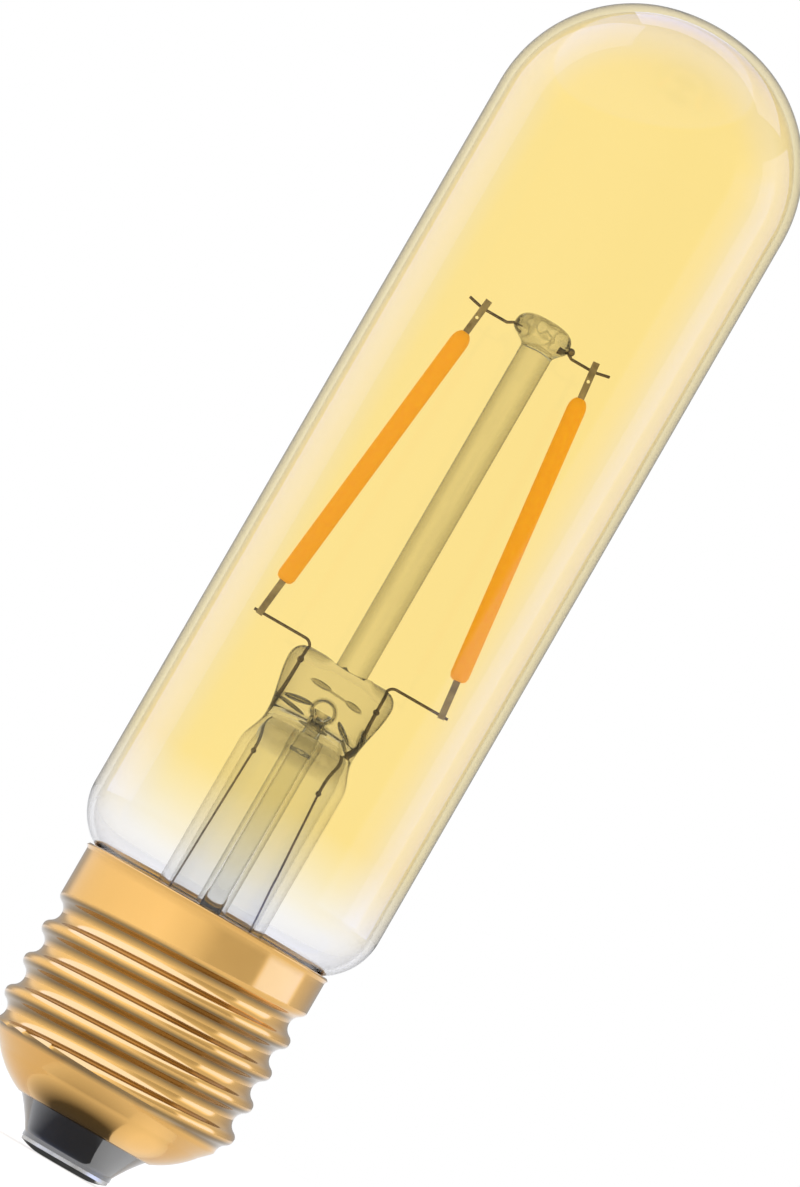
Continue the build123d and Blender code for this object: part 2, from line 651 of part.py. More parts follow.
def fuse_resistor():
    """Lying resistor with bulged ends, its leads bent down through the board."""
    axis_z = BOARD_TOP_Z + FUSE_R + FUSE_STANDOFF
    half = FUSE_LENGTH / 2
    points = [(0, half), (FUSE_R, half - FUSE_BULGE), (FUSE_WAIST_R, 0)]
    shape = Spline(*points, tangents=[(1, 0), (0, -1)])
    outline = Curve() + shape + Polyline(shape @ 1, (0, 0), (0, half))
    body = Rot(0, 90, 0) * (turned(outline) + mirror(turned(outline), Plane.XY))
    (left_x, y), (right_x, _) = fuse_places()
    low_z = BOARD_Z - TAIL
    bent = [(left_x, y, low_z), (left_x, y, axis_z), (right_x, y, axis_z), (right_x, y, low_z)]
    return Pos(FUSE_X, FUSE_Y, axis_z) * body + drawn_wire(bent, COMPONENT_LEAD_R, FUSE_BEND_R)


def gull_pin(body_half, mid_z):
    """Bent pin from inside a moulded body down to the board, in its own XZ plane."""
    root = body_half - PIN_ROOT
    knee = body_half + PIN_KNEE
    out = body_half + PIN_REACH
    top = mid_z + PIN_THICKNESS / 2
    low = mid_z - PIN_THICKNESS / 2
    rim = [(root, low), (knee - PIN_THICKNESS, low), (knee, 0), (out, 0), (out, PIN_THICKNESS)]
    rim += [(knee + PIN_SLOPE, PIN_THICKNESS), (knee, top), (root, top)]
    return extrude(Plane.XZ * make_face(Polyline(*rim, close=True)), PIN_WIDTH / 2, both=True)


def moulded_package(length, width, height, pins):
    """Moulded body with drafted sides and a row of bent pins on each long side."""
    standoff = PIN_THICKNESS / 2
    half = (height - standoff) / 2
    middle = Rectangle(width, length)
    ends = Rectangle(width - 2 * BODY_DRAFT, length - 2 * BODY_DRAFT)
    lower = loft([Pos(0, 0, standoff) * ends, Pos(0, 0, standoff + half) * middle])
    upper = loft([Pos(0, 0, standoff + half) * middle, Pos(0, 0, height) * ends])
    body = lower + upper
    for n in range(pins):
        y = length * ((n + 0.5) / pins - 0.5)
        pin = Pos(0, y, 0) * gull_pin(width / 2, standoff + half)
        body += [pin, Rot(0, 0, 180) * pin]
    return body


def bridge_rectifier():
    """Four-pin rectifier."""
    package = moulded_package(BRIDGE_LENGTH, BRIDGE_WIDTH, BRIDGE_HEIGHT, 2)
    return Pos(BRIDGE_X, BRIDGE_Y, BOARD_TOP_Z) * package


def driver_chip():
    """Eight-pin current regulator."""
    package = moulded_package(CHIP_BODY_LENGTH, CHIP_BODY_WIDTH, CHIP_BODY_HEIGHT, 4)
    return Pos(CHIP_BODY_X, CHIP_BODY_Y, BOARD_TOP_Z) * Rot(0, 0, 90) * package


def chip_resistors():
    """Two small resistors in a row, each with a metal cap at both ends."""
    sheet = 2 * RESISTOR_CAP_SHEET
    core = Box(RESISTOR_LENGTH, RESISTOR_WIDTH - sheet, RESISTOR_HEIGHT - sheet)
    cap = Box(RESISTOR_CAP, RESISTOR_WIDTH, RESISTOR_HEIGHT)
    end = (RESISTOR_LENGTH - RESISTOR_CAP) / 2
    resistor = core + Pos(end, 0, 0) * cap + Pos(-end, 0, 0) * cap
    places = [RESISTOR_Y + n * RESISTOR_SPACING for n in range(2)]
    z = BOARD_TOP_Z + RESISTOR_HEIGHT / 2
    return Compound(children=[Pos(RESISTOR_X, y, z) * resistor for y in places])


def neutral_points():
    """Route of the neutral wire from the board to the inside of the shell at the back."""
    back_root_z = TOP_ROOT_Z + PITCH / 4
    turns_down = math.floor((back_root_z - BOARD_TOP_Z - NEUTRAL_RISE) / PITCH)
    end_z = back_root_z - turns_down * PITCH
    end_y = CREST_R - THREAD_DEPTH - SHEET - NEUTRAL_END_GAP
    low = (0, NEUTRAL_Y, BOARD_Z - TAIL)
    return [low, (0, NEUTRAL_Y, end_z - NEUTRAL_LEAN), (0, end_y, end_z)]


def neutral_wire():
    """Wire that joins the board to the screw shell."""
    return drawn_wire(neutral_points(), NEUTRAL_WIRE_R, NEUTRAL_BEND_R)


def neutral_solder(cavity):
    """Solder that holds the neutral wire's end to the shell's inner wall."""
    blob = Pos(neutral_points()[-1]) * Sphere(SOLDER_BLOB_R)
    return (blob & cavity) - neutral_wire()


def live_wire():
    """Wire from the contact plate's solder, up its channel and through the board."""
    low_z = CONTACT_SHEET / 2
    return bar(0, 0, low_z, LIVE_WIRE_R, BOARD_TOP_Z + TAIL - low_z)


def contact_solder():
    """Solder that fills the contact plate's hole and grips the live wire."""
    plug = bar(0, 0, 0, CONTACT_HOLE_R, CONTACT_SHEET)
    mound = Cone(WIRE_CHANNEL_R - SOLDER_MOUND_CLEARANCE, 1.5 * LIVE_WIRE_R, CONTACT_SHEET)
    return plug + Pos(0, 0, 1.5 * CONTACT_SHEET) * mound - live_wire()


def board_holes():
    """Each through-hole of the board, as a place and the radius of what passes it."""
    holes = [((sign * OUTER_LEAD_X, 0), OUTER_LEAD_R) for sign in SIDES.values()]
    holes += [(place, COMPONENT_LEAD_R) for place in capacitor_places() + fuse_places()]
    holes += [((0, 0), LIVE_WIRE_R), ((0, NEUTRAL_Y), NEUTRAL_WIRE_R)]
    return holes


def driver_board():
    """Round board that rests on the slope of the shell's bowl."""
    blank = bar(0, 0, BOARD_Z, BOARD_R, BOARD_THICKNESS)
    drills = []
    for (x, y), radius in board_holes():
        drills.append(bar(x, y, BOARD_Z - 1, radius + HOLE_CLEARANCE, BOARD_THICKNESS + 2))
    return blank - drills


def solder_joints():
    """A cone of solder under the board round each lead that passes it."""
    joints = []
    for (x, y), radius in board_holes():
        cone = Cone(JOINT_TIP_R, JOINT_R + radius / 2, JOINT_HEIGHT)
        lead = Cylinder(radius, 2 * JOINT_HEIGHT)
        joints.append(Pos(x, y, BOARD_Z - JOINT_HEIGHT / 2) * (cone - lead))
    return Compound(children=joints)


def build():
    """Every piece of the bulb by its name."""
    cavity = threaded_form(SHEET, SHELL_FOOT_Z - 1)
    parts = {
        "glass_envelope": glass_envelope(),
        "exhaust_tube": exhaust_tube(),
        "screw_shell": screw_shell(cavity),
        "insulator": insulator(),
        "centre_contact": centre_contact(),
        "contact_solder": contact_solder(),
        "basing_cement": basing_cement(),
        "driver_board": driver_board(),
        "bridge_rectifier": bridge_rectifier(),
        "driver_chip": driver_chip(),
        "smoothing_capacitor": smoothing_capacitor(),
        "fuse_resistor": fuse_resistor(),
        "chip_resistors": chip_resistors(),
        "live_wire": live_wire(),
        "neutral_wire": neutral_wire(),
        "neutral_solder": neutral_solder(cavity),
        "solder_joints": solder_joints(),
    }
    for side in SIDES:
        buried = [bottom_tab(side), top_tab(side), strip(side), chips(side)]
        parts[f"filament_bottom_tab_{side}"] = buried[0]
        parts[f"filament_top_tab_{side}"] = buried[1]
        parts[f"filament_strip_{side}"] = buried[2]
        parts[f"filament_chips_{side}"] = buried[3]
        parts[f"filament_coating_{side}"] = coating(side, buried)
        parts[f"inner_lead_{side}"] = inner_lead(side) - bottom_tab(side)
        parts[f"seal_wire_{side}"] = seal_wire(side)
        parts[f"outer_lead_{side}"] = outer_lead(side)
        parts[f"support_wire_{side}"] = support_wire(side) - top_tab(side)
    sealed = [inner_lead(side) for side in SIDES] + [seal_wire(side) for side in SIDES]
    parts["stem"] = stem(sealed)
    parts["support_rod"] = support_rod([support_wire(side) for side in SIDES])
    return parts


os.makedirs("parts", exist_ok=True)
for name, piece in build().items():
    export_step(piece, f"parts/{name}.step")
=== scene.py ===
import math

import bmesh
import bpy
from mathutils import Matrix, Vector


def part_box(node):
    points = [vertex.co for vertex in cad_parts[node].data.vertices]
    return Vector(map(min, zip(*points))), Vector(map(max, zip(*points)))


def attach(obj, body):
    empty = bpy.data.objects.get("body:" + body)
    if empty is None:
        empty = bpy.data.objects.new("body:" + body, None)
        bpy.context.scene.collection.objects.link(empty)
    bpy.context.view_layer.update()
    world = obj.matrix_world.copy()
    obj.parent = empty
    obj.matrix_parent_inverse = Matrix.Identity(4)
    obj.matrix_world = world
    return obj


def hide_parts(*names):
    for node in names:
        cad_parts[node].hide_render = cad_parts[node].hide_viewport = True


# A tubular LED filament bulb, put together from the inside out. Pieces are drawn in
# millimetres and scaled once; +Z runs from the contact plate to the dome.
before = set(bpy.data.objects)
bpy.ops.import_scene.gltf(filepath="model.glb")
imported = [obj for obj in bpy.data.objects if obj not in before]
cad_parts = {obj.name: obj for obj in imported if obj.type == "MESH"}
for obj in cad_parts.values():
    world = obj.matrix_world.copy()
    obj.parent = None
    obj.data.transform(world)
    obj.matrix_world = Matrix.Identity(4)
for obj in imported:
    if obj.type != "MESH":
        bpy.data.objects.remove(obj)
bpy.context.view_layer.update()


# The stem is a flared glass tube, heated and pinched flat round the leads at its head.
# It is clear glass, blown through at one side and fused to the neck by its flare.
STEM_R, STEM_WALL, FLARE_ARC = 5.85, 1.0, 4.15
FOOT_Z, PRESS_RISE, PRESS_ROUND = 45.0, 9.7, 1.6
WAIST = {"rise": 3.6, "half_width": 4.9}
PRESS = {"half_width": 5.8, "half_depth": 1.95, "flat_rise": 5.6, "squareness": 3.0}
SADDLE_R, SADDLE_DEPTH, SADDLE_REACH = 8.0, 0.35, 1
ROOF = {"rise": 3.2, "half_width": 4.0, "half_depth": 1.9, "squareness": 2.6}
PRESS_TOP_Z, ROOF_Z = FOOT_Z + PRESS_RISE + PRESS_ROUND, FOOT_Z + ROOF["rise"]
ROD_R, ROD_X, ROD_MELT_REACH, ROD_MELT_FILL = 1.7, 0.45, 1.7, 0.85
MM, IN_MM, MERGED, LEEWAY, NO_RADIUS, SHARP_ANGLE = 0.001, 1000, 0.002, 0.01, 1e-6, 40


class Outline:
    """A line drawn as radius and height, to be spun about the bulb's axis."""

    def __init__(self, r, z):
        self.mesh = bmesh.new()
        self.tip = self.mesh.verts.new((r, 0, z))

    def line(self, r, z, steps=1):
        """Runs straight on to a radius and height, with as many even steps."""
        step = (Vector((r, 0, z)) - self.tip.co) / steps
        for _ in range(steps):
            made = bmesh.ops.extrude_vert_indiv(self.mesh, verts=[self.tip])
            self.tip = made["verts"][0]
            self.tip.co += step
        return self

    def arc(self, r, z, degrees, steps):
        """Turns about a centre, anticlockwise where degrees is above zero."""
        turned = {"cent": (r, 0, z), "axis": (0, 1, 0), "angle": -math.radians(degrees), "steps": steps}
        made = bmesh.ops.spin(self.mesh, geom=[self.tip], **turned)
        self.tip = next(item for item in made["geom_last"] if isinstance(item, bmesh.types.BMVert))
        return self

    def spun(self, steps):
        """The whole turned form."""
        geom = self.mesh.verts[:] + self.mesh.edges[:]
        turned = {"cent": (0, 0, 0), "axis": (0, 0, 1), "angle": math.tau, "steps": steps}
        bmesh.ops.spin(self.mesh, geom=geom, use_merge=True, **turned)
        bmesh.ops.remove_doubles(self.mesh, verts=self.mesh.verts, dist=MERGED)
        bmesh.ops.recalc_face_normals(self.mesh, faces=self.mesh.faces)
        return self.mesh


def object_of(mesh, name):
    """Makes an object of a mesh drawn in millimetres, and uses the mesh up."""
    bmesh.ops.scale(mesh, vec=(MM, MM, MM), verts=mesh.verts)
    data = bpy.data.meshes.new(name)
    mesh.to_mesh(data)
    mesh.free()
    made = bpy.data.objects.new(name, data)
    bpy.context.scene.collection.objects.link(made)
    return made


def piece_of(mesh, name, slot, *nodes):
    """Makes a smooth piece of a mesh drawn in millimetres, standing for CAD nodes."""
    piece = object_of(mesh, name)
    piece.data.shade_smooth()
    piece.data.set_sharp_from_angle(angle=math.radians(SHARP_ANGLE))
    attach(piece, "root")
    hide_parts(*nodes)
    return piece


def eased(share):
    """Runs from 0 to 1 with level ends."""
    return (1 - math.cos(math.pi * min(max(share, 0), 1))) / 2


def between(first, last, share):
    """A number part of the way from a first to a last."""
    return first + (last - first) * share


def squared(across, half_width, half_depth, squareness):
    """A point of an oval in the direction of a unit vector, boxier as squareness grows."""
    x = half_width * math.copysign(abs(across.x) ** (2 / squareness), across.x)
    y = half_depth * math.copysign(abs(across.y) ** (2 / squareness), across.y)
    return x, y


def pinch(vert):
    """Moves a point of the round tube to its place in the pinched head."""
    rise = vert.co.z - FOOT_Z
    radius = math.hypot(vert.co.x, vert.co.y)
    if rise <= 0 or radius < NO_RADIUS:
        return
    across = Vector((vert.co.x, vert.co.y)) / radius
    hollow = vert.tag
    if hollow:
        closing = eased(rise / ROOF["rise"])
        full = STEM_R - STEM_WALL
        width = between(full, ROOF["half_width"], closing)
        depth = between(full, ROOF["half_depth"], closing)
        squareness = between(2, ROOF["squareness"], closing)
        share = radius / full
    else:
        waist = eased(rise / WAIST["rise"])
        head = eased((rise - WAIST["rise"]) / (PRESS_RISE - WAIST["rise"]))
        flat = eased(rise / PRESS["flat_rise"])
        width = between(STEM_R, WAIST["half_width"], waist)
        width += (PRESS["half_width"] - WAIST["half_width"]) * head
        depth = between(STEM_R, PRESS["half_depth"], flat)
        squareness = between(2, PRESS["squareness"], flat)
        over = max(rise - PRESS_RISE, 0)
        melted_on = eased(ROD_MELT_REACH - abs(width * across.x - ROD_X) / ROD_R)
        rounding = PRESS_ROUND - math.sqrt(max(PRESS_ROUND**2 - over**2, 0))
        rounding *= 1 - ROD_MELT_FILL * melted_on
        width, depth = width - rounding, depth - rounding
        share = radius / STEM_R
    x, y = squared(across, width * share, depth * share, squareness)
    vert.co.x, vert.co.y = x, y
    if not hollow and rise > PRESS_RISE - SADDLE_REACH:
        dip = SADDLE_R - math.sqrt(max(SADDLE_R**2 - x**2, 0))
        vert.co.z = min(vert.co.z, PRESS_TOP_Z - SADDLE_DEPTH + dip)


def cut(piece, tools):
    """Takes each tool's mesh, drawn in millimetres, out of a piece for good."""
    for tool in tools:
        cutter = object_of(tool, "cutter")
        modifier = piece.modifiers.new("cut", "BOOLEAN")
        modifier.operation, modifier.solver, modifier.object = "DIFFERENCE", "EXACT", cutter
        bpy.context.view_layer.update()
        depsgraph = bpy.context.evaluated_depsgraph_get()
        cut_mesh = bpy.data.meshes.new_from_object(piece.evaluated_get(depsgraph))
        piece.modifiers.clear()
        piece.data = cut_mesh
        cut_mesh.set_sharp_from_angle(angle=math.radians(SHARP_ANGLE))
        bpy.data.objects.remove(cutter)


flare_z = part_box("stem")[0].z * IN_MM + STEM_WALL
rim_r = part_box("stem")[1].x * IN_MM
turn_r, bend_z = STEM_R + FLARE_ARC, flare_z + FLARE_ARC
outline = Outline(0, PRESS_TOP_Z).line(STEM_R, PRESS_TOP_Z, 12)
outline.line(STEM_R, FOOT_Z + PRESS_RISE, 8).line(STEM_R, FOOT_Z, 40).line(STEM_R, bend_z)
outline.arc(turn_r, bend_z, 90, 12).line(rim_r, flare_z).line(rim_r, flare_z - STEM_WALL)
outline.line(turn_r, flare_z - STEM_WALL).arc(turn_r, bend_z, -90, 14)
outline.line(STEM_R - STEM_WALL, FOOT_Z).line(STEM_R - STEM_WALL, ROOF_Z, 16).line(0, ROOF_Z, 10)
glass = outline.spun(96)
for vert in glass.verts:
    inside = math.hypot(vert.co.x, vert.co.y) < STEM_R - STEM_WALL / 2
    vert.tag = inside and vert.co.z < ROOF_Z + LEEWAY
for vert in glass.verts:
    pinch(vert)
stem = piece_of(glass, "stem", "clear_glass", "stem")

# The bore runs from the exhaust tube to the blow hole, whose mouth opens at the front:
# the radius, reach and steps of each stretch of the mouth.
BORE_R, BORE_START, BLOW_HOLE_Z = 1.0, ROOF_Z - 0.6, FOOT_Z + 6.3
MOUTH = ((0.98, 0, 2), (1.02, 1.4, 4), (1.32, 2.3, 6), (0, 2.3, 2))
MOUTH_WIDER, MOUTH_LOWER = 1.1, 0.98
bore = Outline(0, BORE_START).line(BORE_R, BORE_START, 2).line(BORE_R, BLOW_HOLE_Z, 6)
bore = bore.arc(0, BLOW_HOLE_Z, -90, 8).spun(40)
outline = Outline(0, 0)
for r, reach, steps in MOUTH:
    outline.line(r, reach, steps)
mouth = outline.spun(48)
bmesh.ops.rotate(mouth, verts=mouth.verts, matrix=Matrix.Rotation(math.radians(90), 3, "X"))
bmesh.ops.scale(mouth, verts=mouth.verts, vec=(MOUTH_WIDER, 1, MOUTH_LOWER))
bmesh.ops.translate(mouth, verts=mouth.verts, vec=(0, 0, BLOW_HOLE_Z))
cut(stem, (bore, mouth))

# Folds that the pinch left: middle x, y and z, half length, depth and thickness, the tilt
# in degrees, and how dark the shade painted round it is.
FOLDS = (
    (-1.5, -1.95, 53.55, 1.15, 0.6, 0.3, -2, 0.75),
    (2.3, -1.95, 53.2, 0.95, 0.6, 0.3, -6, 0.75),
    (-2.7, -0.5, 51.25, 1.45, 0.6, 0.34, 8, 0.3),
    (-2.9, 0.5, 50.3, 1.5, 0.6, 0.3, -14, 0.35),
    (2.7, -0.5, 50.4, 1.3, 0.6, 0.34, -42, 0.4),
    (-0.1, -0.3, 49.05, 1.6, 0.7, 0.34, 3, 0.25),
    (-4.75, 0.2, 49.5, 1.9, 0.5, 0.3, 74, 0.8),
    (4.6, 0.2, 50.2, 1.7, 0.5, 0.32, -74, 0.8),
    (3.3, 0.5, 48.8, 1.0, 0.5, 0.26, -62, 0.5),
)
folds = []
for x, y, z, length, depth, thickness, tilt, _ in FOLDS:
    fold = bmesh.new()
    bmesh.ops.create_uvsphere(fold, u_segments=32, v_segments=20, radius=1.0)
    bmesh.ops.scale(fold, verts=fold.verts, vec=(length, depth, thickness))
    bmesh.ops.rotate(fold, verts=fold.verts, matrix=Matrix.Rotation(math.radians(-tilt), 3, "Y"))
    bmesh.ops.translate(fold, verts=fold.verts, vec=(x, y, z))
    folds.append(fold)
cut(stem, folds)


class Wire:
    """A socket of a material's nodes, on which sums are written as Python writes them."""

    def __init__(self, tree, socket=None):
        self.tree, self.socket = tree, socket

    def feed(self, socket, value):
        """Joins this or that to a socket: a wire is linked, a number or colour is set."""
        if isinstance(value, Wire):
            self.tree.links.new(value.socket, socket)
        elif isinstance(value, tuple) and len(value) == 3 and socket.type == "RGBA":
            socket.default_value = (*value, 1)
        else:
            socket.default_value = value

    def node(self, kind, settings=None, sockets=None, out=0):
        """Adds a node: its settings first, then what its sockets are given."""
        made = self.tree.nodes.new("ShaderNode" + kind)
        for key, value in (settings or {}).items():
            if key == "stops":
                ramp = made.color_ramp
                while len(ramp.elements) < len(value):
                    ramp.elements.new(0.5)
                for stop, (place, shade) in zip(ramp.elements, value):
                    stop.position = place
                    stop.color = (*shade, 1) if isinstance(shade, tuple) else (shade, shade, shade, 1)
            else:
                setattr(made, key, value)
        for key, value in (sockets or {}).items():
            self.feed(made.inputs[key], value)
        return Wire(self.tree, made.outputs[out])

    def sum(self, operation, first, second):
        """One Math node."""
        return self.node("Math", {"operation": operation}, {0: first, 1: second})

    def __add__(self, other):
        return self.sum("ADD", self, other)

    def __radd__(self, other):
        return self.sum("ADD", other, self)

    def __sub__(self, other):
        return self.sum("SUBTRACT", self, other)

    def __rsub__(self, other):
        return self.sum("SUBTRACT", other, self)

    def __mul__(self, other):
        return self.sum("MULTIPLY", self, other)

    def __rmul__(self, other):
        return self.sum("MULTIPLY", other, self)

    def __truediv__(self, other):
        return self.sum("DIVIDE", self, other)

    def __pow__(self, other):
        return self.sum("POWER", self, other)

    def larger(self, other):
        """The larger of this value and another."""
        return self.sum("MAXIMUM", self, other)

    def part(self, axis):
        """One axis of this place or direction."""
        return self.node("SeparateXYZ", None, {0: self}, axis)

    def ramp(self, *stops):
        """A grey or coloured ramp along this value."""
        return self.node("ValToRGB", {"stops": stops}, {"Fac": self})

    def mixed(self, first, second):
        """From one colour to another as this value runs from 0 to 1."""
        return self.node("Mix", {"data_type": "RGBA"}, {0: self, 6: first, 7: second}, 2)


def material(name, constants):
    """A material with one Principled shader, its plain values set."""
    made = bpy.data.materials.new(name)
    made.use_nodes = True
    shader = made.node_tree.nodes["Principled BSDF"]
    wire = Wire(made.node_tree)
    for key, value in constants.items():
        wire.feed(shader.inputs[key], value)
    return made, shader.inputs, wire


def here(wire, out="Object"):
    """The place on the piece, in metres."""
    return wire.node("TexCoord", out=out)


def reading(wire, axis):
    """The place on the piece along one axis, in millimetres."""
    return here(wire).part(axis) * IN_MM


def cloudy(wire, scale, detail=2.0, place=None):
    """Soft noise from 0 to 1, with so many blobs to the metre."""
    sockets = {"Vector": place or here(wire), "Scale": scale, "Detail": detail}
    return wire.node("TexNoise", None, sockets)


def bumped(wire, height, distance):
    """Normals that rise and fall with a height, by a distance in metres."""
    return wire.node("Bump", None, {"Height": height, "Distance": distance})


def melted_glass(name, ior=1.5):
    """Clear glass with a faint ripple, and how far it is seen edge on, for its colour."""
    constants = {"Transmission Weight": 1.0, "IOR": ior, "Roughness": 0.0, "Specular Tint": (0.5, 0.5, 0.48)}
    made, sockets, wire = material(name, constants)
    wire.feed(sockets["Normal"], bumped(wire, cloudy(wire, 150.0), 0.00002))
    return made, sockets, wire, wire.node("LayerWeight", None, {"Blend": 0.5}, "Facing")


clear, sockets, wire, edge_on = melted_glass("clear_glass")
across, height = reading(wire, "X"), reading(wire, "Z")
pressed = ((height - FOOT_Z) / PRESS["flat_rise"]).ramp((0.0, 0.0), (1.0, 1.0))
thin = edge_on.ramp(
    (0.12, (0.9, 0.9, 0.89)),
    (0.3, (0.83, 0.83, 0.82)),
    (0.6, (0.8, 0.8, 0.79)),
    (0.9, (0.3, 0.29, 0.27)),
)
thick = edge_on.ramp(
    (0.0, (0.78, 0.77, 0.74)),
    (0.04, (0.7, 0.69, 0.66)),
    (0.14, (0.52, 0.51, 0.47)),
    (0.4, (0.38, 0.37, 0.33)),
    (0.75, (0.1, 0.09, 0.07)),
)


def painted_shade(x, z, length, thickness, tilt, darkness):
    """Painted shade round a long fold: how dark the glass colour is made there, seen from the front or back.
    """
    cosine, sine = math.cos(math.radians(tilt)), math.sin(math.radians(tilt))
    along = ((across - x) * cosine + (height - z) * sine) / length
    aside = ((height - z) * cosine - (across - x) * sine) / thickness
    return (along * along + aside * aside).ramp((0.55, darkness), (1.25, 0.0))


# Shade is painted into the glass colour round each fold, in a crease above them, in a ring
# round the blow hole and in a crescent under it.
LONGER, THICKER, RING_WIDTH, SHADE_COLOUR = 1.05, 1.1, 0.5, (0.13, 0.12, 0.09)
painted_darkness = painted_shade(x=0.3, z=53.4, length=2.2, thickness=0.13, tilt=-4, darkness=0.6)
for x, _, z, length, _, thickness, tilt, darkness in FOLDS:
    painted_darkness = painted_darkness.larger(painted_shade(x, z, length * LONGER, thickness * THICKER, tilt, darkness))
from_hole = (across * across + (height - BLOW_HOLE_Z) ** 2.0) ** 0.5
ring = ((from_hole - BORE_R) / RING_WIDTH).ramp((0.0, 0.75), (0.5, 0.55), (1.0, 0.0))
ring = from_hole.ramp((0.0, 0.0), (0.98, 0.0), (1.0, 1.0)) * ring
crescent = painted_shade(x=0.15, z=BLOW_HOLE_Z - 1.62, length=1.35, thickness=0.46, tilt=-3, darkness=0.92)
painted_darkness = painted_darkness.larger(ring.larger(crescent))
wire.feed(sockets["Base Color"], painted_darkness.mixed(pressed.mixed(thin, thick), SHADE_COLOUR))
stem.data.materials.append(clear)


# The exhaust tube carried the air out of the bulb and was melted shut at its lower tip.
# It is a thin clear glass tube, fused into the roof of the stem under the blow hole.
TUBE_R, TUBE_BORE, TIP_HEIGHT, TIP_WALL = 1.6, 1.0, 2.6, 1.2
TIP_BULGE, TIP_BULGE_RISE = 0.75, 0.35
tube_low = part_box("exhaust_tube")[0].z * IN_MM
shut_z = tube_low + TIP_HEIGHT
outline = Outline(0, tube_low).line(TIP_BULGE * TUBE_R, tube_low + TIP_BULGE_RISE * TIP_HEIGHT, 3)
outline.line(TUBE_R, shut_z, 3).line(TUBE_R, ROOF_Z).line(TUBE_BORE, ROOF_Z)
outline.line(TUBE_BORE, shut_z).line(0, tube_low + TIP_WALL, 3)
exhaust = piece_of(outline.spun(48), "exhaust_tube", "clear_glass", "exhaust_tube")

thin_glass, sockets, wire, edge_on = melted_glass("tube_glass", 1.12)
rimmed = edge_on.ramp((0.28, (0.9, 0.9, 0.88)), (0.45, (0.69, 0.685, 0.655)), (0.66, (0.48, 0.47, 0.43)))
wire.feed(sockets["Base Color"], rimmed)
exhaust.data.materials.append(thin_glass)


# The support rod is a solid glass rod melted to the press, with an oval button on top
# that grips the two support wires.
BUTTON = {"half_width": 3.05, "half_depth": 2.5, "base": 1.6, "crown": 1.9, "shift": -0.32}
FLATNESS, CROWN_CUT, ROD_SEAT = 0.7, 75, 0.06
button_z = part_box("support_rod")[1].z * IN_MM - BUTTON["crown"] * math.sin(math.radians(CROWN_CUT))
rod_foot = PRESS_TOP_Z - SADDLE_DEPTH - ROD_SEAT
outline = Outline(0, rod_foot).line(ROD_R, rod_foot, 3)
outline.line(ROD_R, button_z - BUTTON["base"]).line(ROD_R, button_z, 12)
outline.line(0, button_z + BUTTON["crown"], 24)
rod_glass = outline.spun(64)
for vert in rod_glass.verts:
    rise = vert.co.z - (button_z - BUTTON["base"])
    swell = eased(rise / BUTTON["base"])
    over = math.radians(90) * (max(vert.co.z - button_z, 0) / BUTTON["crown"])
    flat_r = math.hypot(vert.co.x, vert.co.y)
    if rise > 0 and flat_r > NO_RADIUS:
        round_r = math.cos(over) ** FLATNESS
        if over:
            vert.co.z = button_z + BUTTON["crown"] * math.sin(over) ** FLATNESS
        vert.co.x *= between(ROD_R, BUTTON["half_width"], swell) * round_r / flat_r
        vert.co.y *= between(ROD_R, BUTTON["half_depth"], swell) * round_r / flat_r
    vert.co.x += ROD_X + BUTTON["shift"] * swell
rod = piece_of(rod_glass, "support_rod", "clear_glass", "support_rod")

STREAK, CURL, CURL_MARGIN = (0.5, 0.49, 0.44), (0.24, 0.23, 0.18), 0.9
thick_glass, sockets, wire, edge_on = melted_glass("rod_glass")
drawn = edge_on.ramp(
    (0.02, (0.82, 0.81, 0.77)),
    (0.08, (0.75, 0.74, 0.69)),
    (0.24, (0.57, 0.56, 0.51)),
    (0.47, (0.47, 0.46, 0.41)),
    (0.68, (0.16, 0.15, 0.11)),
)
stretched = wire.node("Mapping", None, {"Vector": here(wire), "Scale": (1.0, 1.0, 0.06)})
streaks = cloudy(wire, 1500.0, 2.0, stretched).ramp((0.35, 0.0), (0.7, 0.3))
curls = cloudy(wire, 620.0, 1.0).ramp((0.44, 0.0), (0.49, 0.8), (0.51, 0.8), (0.56, 0.0))
curls = curls * (reading(wire, "Z") - button_z + CURL_MARGIN).ramp((0.0, 0.0), (0.5, 1.0))
wire.feed(sockets["Base Color"], curls.mixed(streaks.mixed(drawn, STREAK), CURL))
rod.data.materials.append(thick_glass)


# The leads carry the current: nickel wire inside the bulb, seal wire through the press
# with a weld knot at each end, copper wire down to the board, and plain support wires.
SIDES, METAL = {"left": -1, "right": 1}, {"Metallic": 1.0}


def mottled(name, constants, scale, dark, light, detail=2.0, span=(0.3, 0.7)):
    """A finish that drifts between two near colours, and the noise that it follows."""
    made, sockets, wire = material(name, constants)
    drift = cloudy(wire, scale, detail)
    wire.feed(sockets["Base Color"], drift.ramp((span[0], dark), (span[1], light)))
    return made, sockets, wire, drift


def dress(finish, *names):
    """Gives CAD nodes a finish in place of their plain one."""
    for name in names:
        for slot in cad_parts[name].material_slots:
            slot.material = finish


nickel, sockets, wire, tarnish = mottled(
    "nickel_wire", METAL, 700.0, (0.12, 0.09, 0.06), (0.3, 0.24, 0.17), span=(0.35, 0.75)
)
wire.feed(sockets["Roughness"], 0.3 + tarnish * 0.25)
dress(nickel, *(f"{kind}_{side}" for kind in ("inner_lead", "seal_wire", "support_wire") for side in SIDES))

drawn_wire = {**METAL, "Roughness": 0.3}
copper = mottled("copper_wire", drawn_wire, 900.0, (0.07, 0.05, 0.04), (0.2, 0.13, 0.1))[0]
dress(copper, "outer_lead_left", "outer_lead_right", "live_wire", "neutral_wire")


